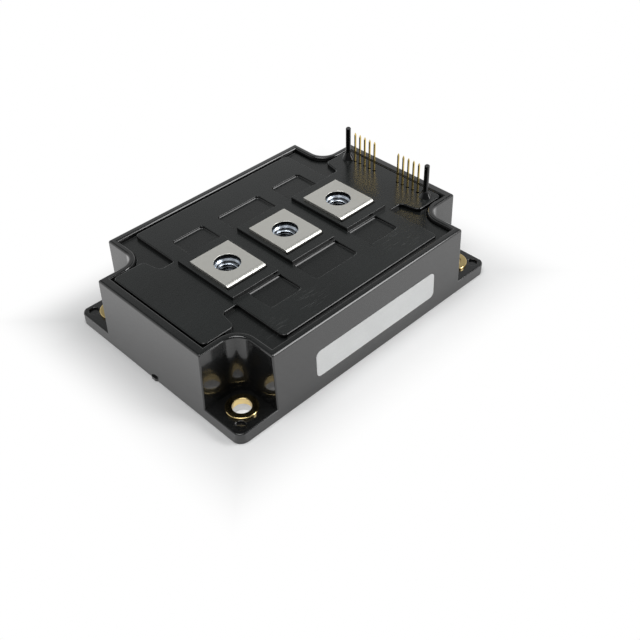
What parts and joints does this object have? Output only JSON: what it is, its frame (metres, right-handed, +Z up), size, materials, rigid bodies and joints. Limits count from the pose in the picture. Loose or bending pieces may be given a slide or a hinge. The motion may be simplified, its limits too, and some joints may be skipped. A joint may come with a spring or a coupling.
{
  "type": "power transistor module",
  "caption": "Black half bridge power module with a flat base plate, corner mounting holes, screw terminals with captive nuts, and gold signal pins between guide posts.",
  "frame": {"origin": "centre of the flat underside of the base plate", "axes": "+Z up out of the terminals, +X along the length towards the signal pins, -Y towards the side with the label"},
  "size_m": [0.126, 0.0886, 0.0415],
  "materials": {
    "case_plastic": "glossy black moulding",
    "lid_plastic": "satin gloss black moulding, finely scratched",
    "label_stock": "bare light grey label",
    "base_nickel": "satin nickel plating on copper",
    "collet_brass": "polished brass",
    "terminal_nickel": "satin nickel plating on copper",
    "nut_zinc": "blue zinc plating",
    "pin_gold": "gold plating on bronze",
    "header_plastic": "matt black",
    "board_laminate": "green solder mask",
    "driver_epoxy": "matt dark moulding compound",
    "capacitor_yellow": "satin yellow",
    "resistor_ceramic": "satin black",
    "tile_ceramic": "matt white",
    "track_copper": "bare copper",
    "chip_silicon": "metallised silicon",
    "ribbon_aluminium": "bright bond ribbon",
    "gel": "clear soft silicone"
  },
  "bodies": {
    "root": {"case_frame": "case_plastic", "lid": "lid_plastic", "label": "label_stock", "base_plate": "base_nickel", "collet_1": "collet_brass", "collet_2": "collet_brass", "collet_3": "collet_brass", "collet_4": "collet_brass", "terminal_1": "terminal_nickel", "terminal_2": "terminal_nickel", "terminal_3": "terminal_nickel", "nut_1": "nut_zinc", "nut_2": "nut_zinc", "nut_3": "nut_zinc", "signal_pin_1": "pin_gold", "signal_pin_2": "pin_gold", "signal_pin_3": "pin_gold", "signal_pin_4": "pin_gold", "signal_pin_5": "pin_gold", "signal_pin_6": "pin_gold", "signal_pin_7": "pin_gold", "signal_pin_8": "pin_gold", "signal_pin_9": "pin_gold", "signal_pin_10": "pin_gold", "pin_header_1": "header_plastic", "pin_header_2": "header_plastic", "control_board": "board_laminate", "driver_circuit_1": "driver_epoxy", "driver_circuit_2": "driver_epoxy", "capacitor_1": "capacitor_yellow", "capacitor_2": "capacitor_yellow", "chip_resistors": "resistor_ceramic", "ceramic_tile_1": "tile_ceramic", "ceramic_tile_2": "tile_ceramic", "back_copper_1": "track_copper", "back_copper_2": "track_copper", "conductors_1": "track_copper", "conductors_2": "track_copper", "igbt_chip_1": "chip_silicon", "igbt_chip_2": "chip_silicon", "igbt_chip_3": "chip_silicon", "igbt_chip_4": "chip_silicon", "diode_chip_1": "chip_silicon", "diode_chip_2": "chip_silicon", "diode_chip_3": "chip_silicon", "diode_chip_4": "chip_silicon", "bond_ribbons_1": "ribbon_aluminium", "bond_ribbons_2": "ribbon_aluminium", "control_leads_1": "pin_gold", "control_leads_2": "pin_gold", "silicone_gel": "gel"}
  },
  "joints": []
}
